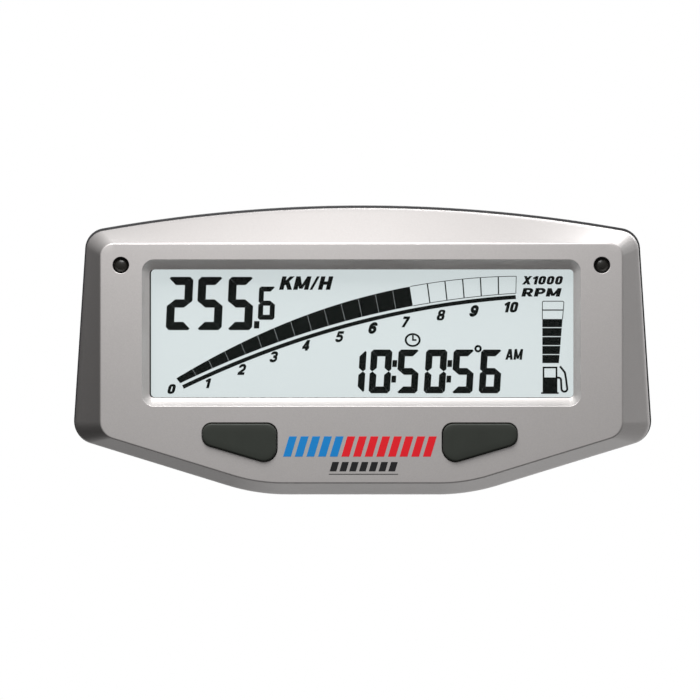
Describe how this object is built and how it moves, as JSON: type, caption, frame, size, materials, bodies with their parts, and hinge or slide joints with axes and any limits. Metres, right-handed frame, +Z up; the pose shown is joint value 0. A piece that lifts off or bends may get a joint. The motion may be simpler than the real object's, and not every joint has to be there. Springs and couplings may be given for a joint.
{
  "type": "instrument cluster",
  "caption": "Digital motorcycle instrument cluster: painted bezel round a wide display window, rubber push buttons, warning lights, black rear housing with a bolt-on pad.",
  "frame": {"origin": "centre of the flat mounting pad on the back of the rear housing", "axes": "+X towards the rider's right, +Z up, +Y forwards out of the mounting pad; the display faces -Y"},
  "size_m": [0.1304, 0.0307, 0.0653],
  "materials": {
    "titanium_paint": "metallic titanium-grey paint with a fine flake, satin",
    "black_plastic": "black glass-filled nylon, fine moulded texture",
    "clear_plastic": "clear polycarbonate, polished",
    "display_glass": "liquid crystal cell glass with a pale reflective back",
    "white_plastic": "white ABS, satin",
    "silver_film": "silvered polyester film",
    "button_rubber": "black silicone rubber, matt",
    "black_rubber": "black EPDM rubber, matt",
    "board_green": "green solder resist on glass-epoxy board",
    "chip_black": "black moulded epoxy",
    "aluminium": "drawn aluminium can",
    "steel": "zinc-plated steel",
    "brass": "turned brass",
    "smoked_plastic": "smoked clear plastic",
    "led_epoxy": "tinted clear epoxy"
  },
  "bodies": {
    "housing": {"front_bezel": "titanium_paint", "rear_housing": "black_plastic", "case_seal": "black_rubber", "window_lens": "clear_plastic", "lcd_front_glass": "display_glass", "lcd_rear_glass": "display_glass", "light_guide": "clear_plastic", "reflector_sheet": "silver_film", "lcd_holder": "white_plastic", "zebra_strip_top": "black_rubber", "zebra_strip_bottom": "black_rubber", "main_board": "board_green", "microcontroller": "chip_black", "memory_chip": "chip_black", "voltage_regulator": "chip_black", "clock_crystal": "steel", "filter_capacitor": "aluminium", "harness_header": "white_plastic", "harness_grommet": "black_rubber", "backlight_led_1": "white_plastic", "board_screw_1": "steel", "backlight_led_2": "white_plastic", "board_screw_2": "steel", "backlight_led_3": "white_plastic", "board_screw_3": "steel", "backlight_led_4": "white_plastic", "board_screw_4": "steel", "case_screw_1": "steel", "case_screw_2": "steel", "case_screw_3": "steel", "case_screw_4": "steel", "case_screw_5": "steel", "case_screw_6": "steel", "button_boot_left": "button_rubber", "switch_case_left": "chip_black", "indicator_lens_left": "smoked_plastic", "indicator_led_left": "led_epoxy", "mount_insert_left": "brass", "button_boot_right": "button_rubber", "switch_case_right": "chip_black", "indicator_lens_right": "smoked_plastic", "indicator_led_right": "led_epoxy", "mount_insert_right": "brass"},
    "left_button": {"button_left": "button_rubber"},
    "left_switch": {"switch_plunger_left": "chip_black"},
    "right_button": {"button_right": "button_rubber"},
    "right_switch": {"switch_plunger_right": "chip_black"}
  },
  "joints": [
    {"name": "left_button_press", "type": "slide", "parent": "housing", "child": "left_button", "axis": [0, 1, 0], "range_m": [0, 0.0008], "stiffness_N_per_m": 1500, "springref_m": -0.0005, "deforming": ["button_boot_left"]},
    {"name": "left_switch_press", "type": "slide", "parent": "housing", "child": "left_switch", "axis": [0, 1, 0], "range_m": [0, 0.0004]},
    {"name": "right_button_press", "type": "slide", "parent": "housing", "child": "right_button", "axis": [0, 1, 0], "range_m": [0, 0.0008], "stiffness_N_per_m": 1500, "springref_m": -0.0005, "deforming": ["button_boot_right"]},
    {"name": "right_switch_press", "type": "slide", "parent": "housing", "child": "right_switch", "axis": [0, 1, 0], "range_m": [0, 0.0004]}
  ],
  "couplings": [
    {"joint": "left_switch_press", "follows": "left_button_press", "ratio": 0.4375},
    {"joint": "right_switch_press", "follows": "right_button_press", "ratio": 0.4375}
  ]
}
